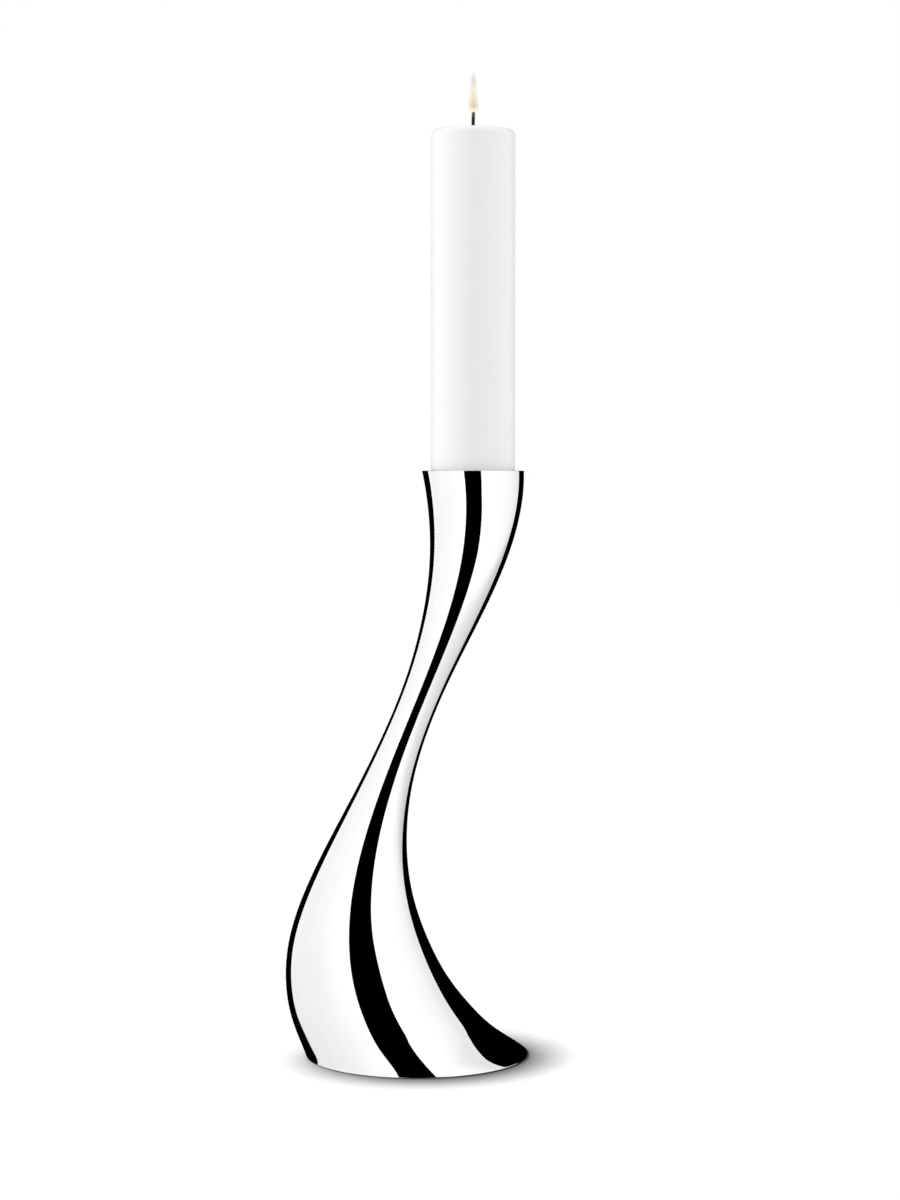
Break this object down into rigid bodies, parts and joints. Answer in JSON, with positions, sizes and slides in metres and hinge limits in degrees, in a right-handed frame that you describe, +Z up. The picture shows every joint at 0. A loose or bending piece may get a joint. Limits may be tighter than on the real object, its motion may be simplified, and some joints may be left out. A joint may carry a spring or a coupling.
{
  "type": "candlestick",
  "caption": "Leaning, waisted candlestick of mirror-polished sheet steel, with a wide round foot, a flared mouth and a cup and spike for a lift-out pillar candle.",
  "frame": {"origin": "on the floor, at the centre of the round foot", "axes": "+Z up; +X the way the foot's tail runs out, which is also the side that the mouth and candle stand on; -Y faces the viewer of the front view"},
  "size_m": [0.2034, 0.1866, 0.785],
  "materials": {
    "polished_steel": "mirror-polished stainless steel",
    "satin_steel": "satin pressed steel",
    "plated_steel": "zinc-plated steel",
    "cast_weight": "rough cast iron, painted black",
    "black_felt": "black pressed felt",
    "white_wax": "smooth white paraffin wax",
    "burnt_wick": "braided cotton, charred"
  },
  "bodies": {
    "stand": {"shell_front": "polished_steel", "shell_back": "polished_steel", "candle_cup": "satin_steel", "candle_spike": "satin_steel", "spike_washer": "plated_steel", "spike_nut": "plated_steel", "mount_lugs": "plated_steel", "base_plate": "satin_steel", "base_screws": "plated_steel", "felt_pad": "black_felt", "ballast_weight": "cast_weight", "ballast_studs": "plated_steel", "ballast_washers": "plated_steel", "ballast_nuts": "plated_steel"},
    "candle": {"candle_wax": "white_wax", "candle_wick": "burnt_wick"}
  },
  "joints": [
    {"name": "candle_lift", "type": "slide", "parent": "stand", "child": "candle", "axis": [0, 0, 1], "range_m": [0, 0.06]}
  ]
}
